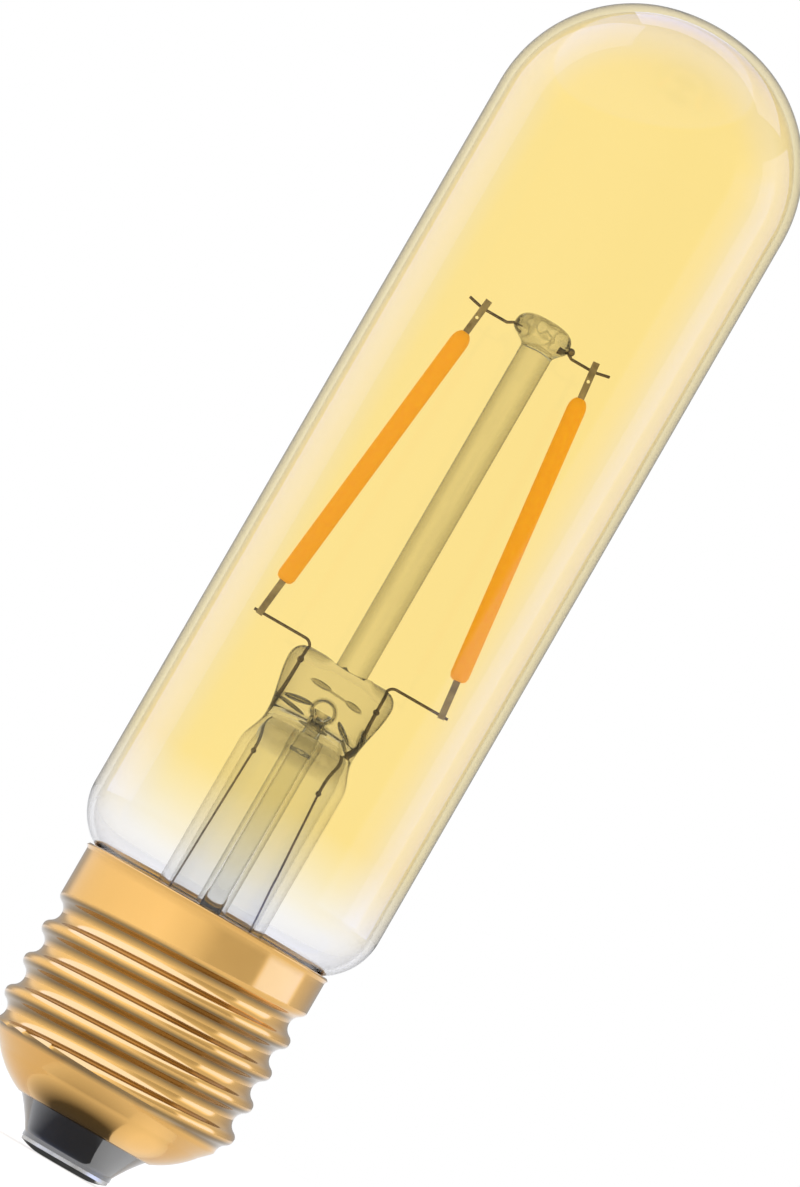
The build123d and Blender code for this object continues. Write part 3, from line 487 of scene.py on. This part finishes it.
# Each filament is a ceramic strip with light-emitting chips, a metal tab at both ends,
# and a soft phosphor coat moulded round it, with a bullet nose at the top.
FILAMENT_LENGTH, BOTTOM_TAB, TOP_TAB, TAB_WIDTH = 38.2, 4.06, 3.9, 0.7
COAT_R, COAT_HALF_DEPTH, COAT_LIFT = 0.95, 0.85, 0.04
FOOT_ROUND, FOOT = 0.6, ((0, 0.55), (0.3, 0.85), (1, 1))
NOSE_LENGTH, NOSE_TIP = 1.3, 0.42
NOSE = ((0.25, 0.98), (0.45, 0.93), (0.65, 0.84), (0.8, 0.72), (0.92, 0.58), (1, NOSE_TIP / COAT_R))

soft = {"Roughness": 0.5, "Specular IOR Level": 0.1}
# The phosphor also glows faintly orange of its own, a painted light that brightens its colour.
glow = {"Emission Color": (1.0, 0.42, 0.0), "Emission Strength": 0.38}
orange = {"dark": (0.9, 0.4, 0.002), "light": (0.98, 0.5, 0.004), "span": (0.3, 0.72)}
phosphor, sockets, wire, grain = mottled("phosphor", {**soft, **glow}, 2600.0, **orange, detail=4.0)
wire.feed(sockets["Normal"], bumped(wire, grain, 0.00003))

for side, sign in SIDES.items():
    tab_low, tab_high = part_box(f"filament_bottom_tab_{side}")
    head_low, head_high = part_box(f"filament_top_tab_{side}")
    foot_x = sign * max(abs(tab_low.x), abs(tab_high.x)) * IN_MM
    head_x = sign * min(abs(head_low.x), abs(head_high.x)) * IN_MM
    lean = -sign * math.asin((abs(foot_x) - abs(head_x) - TAB_WIDTH) / FILAMENT_LENGTH)
    base, top = BOTTOM_TAB, FILAMENT_LENGTH - TOP_TAB
    outline = Outline(0, base)
    for rise, share in FOOT:
        outline.line(COAT_R * share, base + FOOT_ROUND * rise, 2)
    outline.line(COAT_R, top - NOSE_LENGTH)
    for rise, share in NOSE:
        outline.line(COAT_R * share, top - NOSE_LENGTH * (1 - rise))
    outline.line(0, top, 2)
    coat = outline.spun(40)
    bmesh.ops.scale(coat, vec=(1, COAT_HALF_DEPTH / COAT_R, 1), verts=coat.verts)
    middle_x, middle_y = foot_x - sign * TAB_WIDTH / 2, (tab_low.y + tab_high.y) / 2 * IN_MM
    foot = Matrix.Translation((middle_x, middle_y, tab_low.z * IN_MM + COAT_LIFT))
    bmesh.ops.transform(coat, matrix=foot @ Matrix.Rotation(lean, 4, "Y"), verts=coat.verts)
    coating = piece_of(coat, f"filament_coating_{side}", "phosphor", f"filament_coating_{side}")
    coating.data.materials.append(phosphor)

worn = {"dark": (0.22, 0.18, 0.13), "light": (0.5, 0.43, 0.33), "span": (0.3, 0.75)}
tab_metal, sockets, wire, wear = mottled("tab_metal", METAL, 900.0, **worn, detail=3.0)
wire.feed(sockets["Roughness"], 0.3 + wear * 0.3)
dress(tab_metal, *(f"filament_{end}_tab_{side}" for end in ("bottom", "top") for side in SIDES))

ceramic = mottled("strip_ceramic", {"Roughness": 0.6}, 1500.0, (0.72, 0.7, 0.62), (0.82, 0.8, 0.74))[0]
dress(ceramic, "filament_strip_left", "filament_strip_right")

crystal = mottled("chip_crystal", {"Roughness": 0.15}, 3000.0, (0.1, 0.2, 0.42), (0.16, 0.3, 0.55))[0]
dress(crystal, "filament_chips_left", "filament_chips_right")


# The envelope is one blown tube of glass with a domed top and a neck drawn in to fit the
# shell. An amber stain covers it and fades out just above the shell.
BULB_LENGTH, GLASS_R, GLASS_WALL = 129.0, 16.0, 0.85
CROWN_EASE, KNUCKLE_X, INNER_DROP = 3.9, 1.0, 0.27
SHOULDER_R, NECK_FILLET_R, NECK_R, GLASS_R_AT_RIM = 6.5, 3.0, 11.0, 13.123
shell_low, shell_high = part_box("screw_shell")
rim_z = shell_high.z * IN_MM
neck_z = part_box("glass_envelope")[0].z * IN_MM
knuckle_r = GLASS_R - KNUCKLE_X
crown_z = BULB_LENGTH - knuckle_r - CROWN_EASE
knuckle_z = crown_z + math.sqrt(CROWN_EASE**2 - KNUCKLE_X**2)
meet = math.degrees(math.atan2(knuckle_z - crown_z, KNUCKLE_X))
shoulder_x, fillet_x = GLASS_R - SHOULDER_R, NECK_R + NECK_FILLET_R
shoulder_z = rim_z + math.sqrt(SHOULDER_R**2 - (GLASS_R_AT_RIM - shoulder_x) ** 2)
fillet_drop = math.sqrt((SHOULDER_R + NECK_FILLET_R) ** 2 - (fillet_x - shoulder_x) ** 2)
fillet_z = shoulder_z - fillet_drop
slant = math.degrees(math.atan2(fillet_drop, fillet_x - shoulder_x))
outline = Outline(0, BULB_LENGTH)
outline.arc(0, crown_z, meet - 90, 8).arc(KNUCKLE_X, knuckle_z, -meet, 48)
outline.line(GLASS_R, shoulder_z, 8).arc(shoulder_x, shoulder_z, -slant, 24)
outline.arc(fillet_x, fillet_z, slant, 16).line(NECK_R, neck_z).line(NECK_R - GLASS_WALL, neck_z)
outline.line(NECK_R - GLASS_WALL, fillet_z - INNER_DROP).arc(fillet_x, fillet_z - INNER_DROP, -slant, 16)
outline.arc(shoulder_x, shoulder_z - INNER_DROP, slant, 24).line(GLASS_R - GLASS_WALL, knuckle_z, 8)
outline.arc(KNUCKLE_X, knuckle_z, meet, 48).arc(0, crown_z, 90 - meet, 8)
envelope = piece_of(outline.spun(160), "glass_envelope", "amber_glass", "glass_envelope")

FADE_Z, FADE_HEIGHT, FADE_WAVER = 31, 12, 3
blown = {"Transmission Weight": 1.0, "IOR": 1.5, "Roughness": 0.0, "Specular Tint": (0.45, 0.42, 0.36)}
amber, sockets, wire = material("amber_glass", blown)
fade = (reading(wire, "Z") + cloudy(wire, 60.0) * FADE_WAVER - FADE_Z) / FADE_HEIGHT
fade = fade.ramp((0.0, 0.0), (0.25, 0.1), (0.65, 0.62), (1.0, 1.0))
facing = wire.node("LayerWeight", None, {"Blend": 0.5}, "Facing")
# Seen part way to edge on, the amber stain pales in a painted reflection of the side lamps. Nearer edge on
# it darkens.
stain_and_painted_sheen = facing.ramp(
    (0.23, (0.991, 0.872, 0.52)),
    (0.38, (0.945, 0.86, 0.68)),
    (0.52, (0.93, 0.85, 0.7)),
    (0.6, (0.89, 0.79, 0.52)),
    (0.72, (0.8, 0.67, 0.36)),
    (0.84, (0.6, 0.47, 0.22)),
    (0.93, (0.3, 0.22, 0.09)),
)
plain = facing.ramp(
    (0.2, (0.97, 0.97, 0.98)),
    (0.45, (0.93, 0.93, 0.95)),
    (0.62, (0.84, 0.84, 0.87)),
    (0.78, (0.62, 0.62, 0.65)),
    (0.92, (0.3, 0.3, 0.32)),
)
wire.feed(sockets["Base Color"], fade.mixed(plain, stain_and_painted_sheen))
wire.feed(sockets["Normal"], bumped(wire, cloudy(wire, 30.0), 0.00001))
envelope.data.materials.append(amber)


# The driver stands in the cap, out of sight: a round board with a rectifier, a regulator
# chip, a capacitor, a fuse resistor and two small resistors, soldered from below.
board = mottled("board", {"Roughness": 0.4}, 400.0, (0.02, 0.09, 0.045), (0.03, 0.13, 0.06))[0]
dress(board, "driver_board")

moulded, sockets, wire, speckle = mottled(
    "moulded_black", {"Roughness": 0.55}, 5000.0, (0.012, 0.012, 0.013), (0.03, 0.03, 0.032)
)
wire.feed(sockets["Normal"], bumped(wire, speckle, 0.00001))
dress(moulded, "bridge_rectifier", "driver_chip")

sleeve = {"Roughness": 0.3, "Coat Weight": 0.3}
can = mottled("capacitor_can", sleeve, 300.0, (0.02, 0.03, 0.08), (0.03, 0.045, 0.11))[0]
dress(can, "smoothing_capacitor")

lacquer = mottled("resistor_body", {"Roughness": 0.35}, 500.0, (0.25, 0.42, 0.46), (0.32, 0.5, 0.53))[0]
dress(lacquer, "fuse_resistor")

chip_ceramic = mottled("chip_ceramic", {"Roughness": 0.5}, 800.0, (0.03, 0.03, 0.03), (0.07, 0.07, 0.075))[0]
dress(chip_ceramic, "chip_resistors")

solder, sockets, wire, frost = mottled("solder", METAL, 1200.0, (0.5, 0.5, 0.5), (0.74, 0.74, 0.73), 3.0)
wire.feed(sockets["Roughness"], 0.2 + frost * 0.3)
dress(solder, "solder_joints", "neutral_solder", "contact_solder")


# The screw shell is thin brass sheet, drawn to a bowl, rolled with a round thread and
# flared at its lip. Cement holds the glass neck in it.
cement, sockets, wire, crumbs = mottled(
    "cement", {"Roughness": 0.9}, 1800.0, (0.72, 0.7, 0.68), (0.85, 0.84, 0.82), 4.0
)
wire.feed(sockets["Normal"], bumped(wire, crumbs, 0.00006))
dress(cement, "basing_cement")

SHEET, CREST_R, ROOT_R, PITCH, THREAD_TURNS = 0.3, 13.1, 12.05, 3.629, 4.25
ROOT_ARC, ROOT_ARC_HALF, CREST_ARC, CREST_ARC_X = 1.5645, 1.375, 0.5, 0.5798
BOWL_R, BOWL_X, HOLE_R, FLANK_R, FLANK_Z = 9.8, 3.3, 7.25, 11.0, 7.6
LIP_ARC, LIP_ANGLE = 0.8, 50
BAND_HEIGHT, ABOVE_THREAD, RUN_OUT_R = 5.82, 2, 13.7
foot_z = shell_low.z * IN_MM
bowl_z = foot_z + math.sqrt(BOWL_R**2 - (HOLE_R - BOWL_X) ** 2)
top_root_z = rim_z - BAND_HEIGHT
first_root_z = top_root_z - PITCH * THREAD_TURNS
lip_z = rim_z - (LIP_ARC + SHEET) * math.sin(math.radians(LIP_ANGLE))
climb = PITCH / (math.tau * ROOT_R)


def groove_radius(off):
    """Radius of the rolled groove at a height above or below its root."""
    off = abs(off)
    if off <= ROOT_ARC_HALF:
        return ROOT_R + ROOT_ARC - math.sqrt(ROOT_ARC**2 - off**2)
    return ROOT_R + CREST_ARC_X + math.sqrt(max(CREST_ARC**2 - (PITCH / 2 - off) ** 2, 0))


def roll(vert):
    """Presses a point of the smooth shell in where the thread runs past it."""
    radius = math.hypot(vert.co.x, vert.co.y)
    turn = math.atan2(vert.co.y, vert.co.x)
    pressed = radius
    for lap in range(math.ceil(THREAD_TURNS)):
        swept = (turn + math.pi / 2) % math.tau + lap * math.tau
        off = vert.co.z - first_root_z - PITCH * swept / math.tau
        if swept <= math.tau * THREAD_TURNS and abs(off) < PITCH / 2:
            pressed = min(pressed, groove_radius(off))
    if 0 < turn < math.pi / 2:
        shift = ROOT_R - RUN_OUT_R
        root = shift * math.cos(turn) + math.sqrt(RUN_OUT_R**2 - (shift * math.sin(turn)) ** 2)
        off = vert.co.z - top_root_z - climb * root * math.sin(turn)
        if abs(off) < PITCH / 2:
            pressed = min(pressed, groove_radius(off) + root - ROOT_R)
    vert.co.x *= pressed / radius
    vert.co.y *= pressed / radius


bowl_start = math.degrees(math.acos((HOLE_R - BOWL_X) / BOWL_R))
bowl_end = math.degrees(math.acos((FLANK_R - BOWL_X) / BOWL_R))
outline = Outline(HOLE_R, foot_z).arc(BOWL_X, bowl_z, bowl_start - bowl_end, 16)
outline.line(CREST_R, FLANK_Z + CREST_R - FLANK_R, 24).line(CREST_R, top_root_z + ABOVE_THREAD, 150)
outline.line(CREST_R, lip_z, 4).arc(CREST_R + LIP_ARC, lip_z, -LIP_ANGLE, 8)
shell_mesh = outline.spun(180)
for vert in shell_mesh.verts:
    roll(vert)
shell = piece_of(shell_mesh, "screw_shell", "brass_shell", "screw_shell")
wall = shell.modifiers.new("sheet", "SOLIDIFY")
wall.thickness, wall.offset = SHEET * MM, -1

# The brass is bright on the band and the bowl. Where the threads face down, shade is painted into it as
# darker brass.
BRIGHT_BAND, BRIGHT_BOWL_Z = 5.0, 8.8
lacquered = {"Coat Weight": 0.45, "Coat Roughness": 0.08, "Coat IOR": 1.7}
brass, sockets, wire = material("brass_shell", {**METAL, **lacquered})
stains, height = cloudy(wire, 90.0, 4.0), reading(wire, "Z")
threaded = (rim_z - BRIGHT_BAND - height).ramp((0.0, 0.0), (0.4, 1.0))
threaded = threaded * (height - BRIGHT_BOWL_Z).ramp((0.0, 0.0), (0.5, 1.0))
# Painted shade: where a thread flank faces down, its colour runs to darker brass.
underside = wire.node("NewGeometry", out="Normal").part("Z") * -1
painted_underside_shade = underside.ramp((0.0, 0.0), (0.5, 0.92)) * threaded
polished = stains.ramp((0.35, (0.88, 0.5, 0.13)), (0.7, (0.92, 0.53, 0.15)))
shaded_brass = stains.ramp((0.35, (0.14, 0.09, 0.035)), (0.7, (0.3, 0.2, 0.08)))
wire.feed(sockets["Base Color"], painted_underside_shade.mixed(polished, shaded_brass))
wire.feed(sockets["Roughness"], 0.11 + cloudy(wire, 500.0, 4.0) * 0.06)
wire.feed(sockets["Normal"], bumped(wire, cloudy(wire, 220.0), 0.000002))
shell.data.materials.append(brass)


# Black glass is poured into the shell's open bottom and holds the dished contact plate,
# which is soldered to the live wire through its middle.
POOL_R, POOL_TOP_Z, HOLE_GAP = 9.9, 6.5, 0.02
LAND_R, LAND_Z, LAND_TOP, SLOPE_HOLLOW, HOLLOW_RISE = 4.92, 0.9, 1.44, 0.45, 0.3
PLATE_R, PLATE_FLAT_R, PLATE_RISE, PLATE_SHEET, PLATE_HOLE = 4.8, 2.2, 0.55, 0.35, 0.7
mouth_r = HOLE_R - HOLE_GAP
outline = Outline(0, POOL_TOP_Z).line(POOL_R, POOL_TOP_Z, 6)
outline.line(mouth_r, foot_z + SHEET, 4).line(mouth_r, foot_z, 2)
for share in (0.2, 0.4, 0.6, 0.8, 1.0):
    hollow = SLOPE_HOLLOW * share * (1 - share)
    slope_r, slope_z = between(HOLE_R, LAND_R, share), between(foot_z, LAND_TOP, share)
    outline.line(slope_r - hollow, slope_z + hollow * HOLLOW_RISE, 2)
outline.line(LAND_R, LAND_Z, 3).line(PLATE_R, LAND_Z)
outline.line(PLATE_FLAT_R, PLATE_SHEET, 6).line(0, PLATE_SHEET, 3)
insulator = piece_of(outline.spun(128), "insulator", "black_glass", "insulator")

glaze = {"Roughness": 0.08, "IOR": 2.3, "Coat Weight": 1.0, "Coat Roughness": 0.03, "Coat IOR": 1.8}
jet = {"dark": (0.008, 0.008, 0.009), "light": (0.02, 0.02, 0.022), "span": (0.3, 0.75)}
dark_glass, sockets, wire, smoky = mottled("black_glass", glaze, 300.0, **jet, detail=3.0)
wire.feed(sockets["Normal"], bumped(wire, smoky, 0.00003))
insulator.data.materials.append(dark_glass)

dish_r = ((PLATE_R - PLATE_FLAT_R) ** 2 + PLATE_RISE**2) / (2 * PLATE_RISE)
dish = math.degrees(math.asin((PLATE_R - PLATE_FLAT_R) / dish_r))
outline = Outline(PLATE_HOLE, 0).line(PLATE_FLAT_R, 0, 3)
outline.arc(PLATE_FLAT_R, dish_r, dish, 16).line(PLATE_R, PLATE_RISE + PLATE_SHEET)
outline.arc(PLATE_FLAT_R, dish_r + PLATE_SHEET, -dish, 16)
outline.line(PLATE_HOLE, PLATE_SHEET, 3).line(PLATE_HOLE, 0)
plate = piece_of(outline.spun(96), "centre_contact", "contact_plate", "centre_contact")

steel, sockets, wire, scuffs = mottled(
    "contact_plate", METAL, 800.0, (0.55, 0.54, 0.52), (0.8, 0.79, 0.76), 4.0
)
wire.feed(sockets["Roughness"], 0.22 + scuffs * 0.2)
plate.data.materials.append(steel)


# The floor is a wide pale disc under the contact, which keeps the bulb's shadow. It glows
# for the camera, and less for glass and metal, so that it runs into the white round it.
FLOOR_R, FLOOR_PAINT = 3000, (0.68, 0.68, 0.68)
CAMERA_GLOW, GLASS_GLOW, METAL_GLOW = 0.6, 0.2, 0.3


def ray(wire, kind):
    """Is 1 for one kind of ray, such as those from the camera, and 0 for the others."""
    return wire.node("LightPath", out=f"Is {kind} Ray")


ground = bmesh.new()
bmesh.ops.create_circle(ground, cap_ends=True, segments=96, radius=FLOOR_R)
floor = object_of(ground, "floor")
matt = {"Roughness": 0.8, "Specular IOR Level": 0.1, "Base Color": FLOOR_PAINT, "Emission Strength": 1.0}
paint, sockets, wire = material("pale_floor", matt)
seen = ray(wire, "Camera") * CAMERA_GLOW + ray(wire, "Transmission") * GLASS_GLOW
wire.feed(sockets["Emission Color"], seen + ray(wire, "Glossy") * METAL_GLOW)
floor.data.materials.append(paint)


# The studio is white for the camera and through the glass, dimmer only high overhead.
# Metal mirrors panels round the bulb and a bright one above it, and all the rest gets an
# even light.
MIRRORED_GLOW, EVEN_LIGHT, HIGH_GLOW = 1.6, 0.6, 0.45
PANEL_ABOVE, WHITE, COOL_PANEL = (-0.35, 0.2, 0.91), (1.0, 1.0, 1.0), (0.74, 0.9, 1.6)
world = bpy.data.worlds.new("studio")
world.use_nodes = True
bpy.context.scene.world = world
wire = Wire(world.node_tree)
background = world.node_tree.nodes["Background"]
direction = here(wire, "Generated")
east, south, up = direction.part("X"), direction.part("Y") * -1, direction.part("Z")
bearing = wire.sum("ARCTAN2", east, south) / math.tau + 0.5
panels = bearing.ramp(
    (0.0, 0.22), (0.08, 0.3), (0.12, 0.6), (0.42, 0.76), (0.5, 0.62), (0.56, 0.36), (0.68, 0.33),
    (0.692, 1.0), (0.81, 1.0), (0.825, 0.45), (0.9, 0.3), (1.0, 0.22),
)
overhead = east * PANEL_ABOVE[0] + south * PANEL_ABOVE[1] + up * PANEL_ABOVE[2]
overhead = overhead.ramp((0.5, 0.0), (0.58, 1.0))
high = up.ramp((0.3, 0.0), (0.6, 1.0))
lit = (panels * (1 - high) + high * HIGH_GLOW).larger(overhead)
ceiling = up.ramp((0.0, 1.0), (0.5, 1.0), (0.85, 0.35))
glossy, passed, direct = ray(wire, "Glossy"), ray(wire, "Transmission"), ray(wire, "Camera")
lighting = glossy * (lit * MIRRORED_GLOW) + (1 - glossy) * EVEN_LIGHT
level = direct + (1 - direct) * (passed * ceiling + (1 - passed) * lighting)
cool = lit.ramp((0.75, 0.0), (0.95, 1.0)) * glossy * (1 - direct)
wire.feed(background.inputs["Color"], cool.mixed(WHITE, COOL_PANEL))
wire.feed(background.inputs["Strength"], level)


# Four soft lamps light all pieces. Nine cool ones, three deep, are mirrored by the glass
# envelope alone, as pale soft-edged bands down its sides and over its dome.
BULB_MIDDLE, COOL = Vector((0, 0, 0.065)), (0.7, 0.84, 1.9)


def soft_lamp(name, bearing, height, distance, width, tall, glow, only=None, tint=WHITE):
    """A soft lamp at a bearing from the front, aimed at the bulb, for all pieces or one."""
    data = bpy.data.lights.new(name, "AREA")
    data.shape, data.size, data.size_y = "RECTANGLE", width, tall
    data.energy = glow * math.pi * width * tall
    data.color = tint
    lamp = bpy.data.objects.new(name, data)
    angle = math.radians(bearing)
    lamp.location = (math.sin(angle) * distance, -math.cos(angle) * distance, height)
    lamp.rotation_euler = (BULB_MIDDLE - Vector(lamp.location)).to_track_quat("-Z", "Y").to_euler()
    lamp.visible_camera = lamp.visible_transmission = lamp.visible_glossy = False
    if only:
        lamp.visible_glossy, lamp.visible_diffuse = True, False
        lamp.light_linking.receiver_collection = bpy.data.collections.new(name)
        lamp.light_linking.receiver_collection.objects.link(only)
    bpy.context.scene.collection.objects.link(lamp)


soft_lamp("left_lamp", -112, 0.12, 0.7, 0.4, 0.9, 1.2)
soft_lamp("right_lamp", 100, 0.12, 0.7, 0.5, 0.9, 1.2)
soft_lamp("front_lamp", -35, 0.75, 0.7, 0.7, 0.5, 1.2)
soft_lamp("top_lamp", 165, 0.8, 0.35, 0.5, 0.3, 1.2)
for part, share in (("core", 0.35), ("middle", 0.65), ("edge", 1.0)):
    soft_lamp(f"left_glass_{part}", -112, 0.2, 0.7, 0.46 * share, 1.5 + 0.15 * share, 1.0, envelope, COOL)
    soft_lamp(f"right_glass_{part}", 114, 0.06, 0.7, 0.5 * share, 0.9 + 0.1 * share, 0.85, envelope, COOL)
    soft_lamp(f"dome_{part}", 165, 0.62, 0.34, 0.62 + 0.1 * share, 0.26 * share, 1.1, envelope, COOL)


# Two soft-edged cards lie on the floor, one dark and one bright. Only the metal and the
# black glass mirror them, as the dark patch and the glint at the foot of the cap.
def card(name, lift, centre, half_size, middle, edge):
    """A card on the floor whose glow runs from its middle to its edge."""
    sheet = bmesh.new()
    bmesh.ops.create_circle(sheet, cap_ends=True, segments=64, radius=1.0)
    bmesh.ops.scale(sheet, verts=sheet.verts, vec=(*half_size, 1))
    bmesh.ops.translate(sheet, verts=sheet.verts, vec=(*centre, lift))
    laid = object_of(sheet, name)
    laid.visible_camera = laid.visible_diffuse = laid.visible_transmission = laid.visible_shadow = False
    finish, sockets, wire = material(name, {"Base Color": (0.02, 0.02, 0.02), "Emission Strength": 1.0})
    x = (reading(wire, "X") - centre[0]) / half_size[0]
    y = (reading(wire, "Y") - centre[1]) / half_size[1]
    reach = (x * x + y * y) ** 0.5
    wire.feed(sockets["Emission Color"], reach.ramp((0.45, middle), (1.0, edge)))
    laid.data.materials.append(finish)


card("dark_card", 0.05, (-0.5, -4.0), (10.5, 9.4), 0.05, 0.8)
card("bright_card", 0.07, (8.8, -4.0), (5.2, 7.4), 0.95, 0.78)


# The camera looks slightly up from the front, rolled so that the bulb leans to the right
# and fills the frame from corner to corner. Light may pass through many walls of glass.
FRAME_TALL, DISTANCE, SENSOR, BOUNCES = 0.1164, 1.2, 36, 24
LEAN, PITCH_UP, AIM = math.radians(30), math.radians(2.4), Vector((0.0007, 0, 0.0652))
forward = Vector((0, math.cos(PITCH_UP), math.sin(PITCH_UP)))
level_up = Vector((0, -math.sin(PITCH_UP), math.cos(PITCH_UP)))
level_right = Vector((1, 0, 0))
right = level_right * math.cos(LEAN) + level_up * math.sin(LEAN)
upward = level_up * math.cos(LEAN) - level_right * math.sin(LEAN)
lens = bpy.data.cameras.new("camera")
lens.lens = SENSOR * DISTANCE / FRAME_TALL
lens.clip_start, lens.clip_end = 0.01, 10
camera = bpy.data.objects.new("camera", lens)
turn = Matrix((right, upward, -forward)).transposed().to_4x4()
camera.matrix_world = Matrix.Translation(AIM - forward * DISTANCE) @ turn
bpy.context.scene.collection.objects.link(camera)
bpy.context.scene.camera = camera
bpy.context.scene.view_settings.view_transform = "Standard"
bpy.context.scene.cycles.max_bounces = BOUNCES
bpy.context.scene.cycles.transmission_bounces = BOUNCES
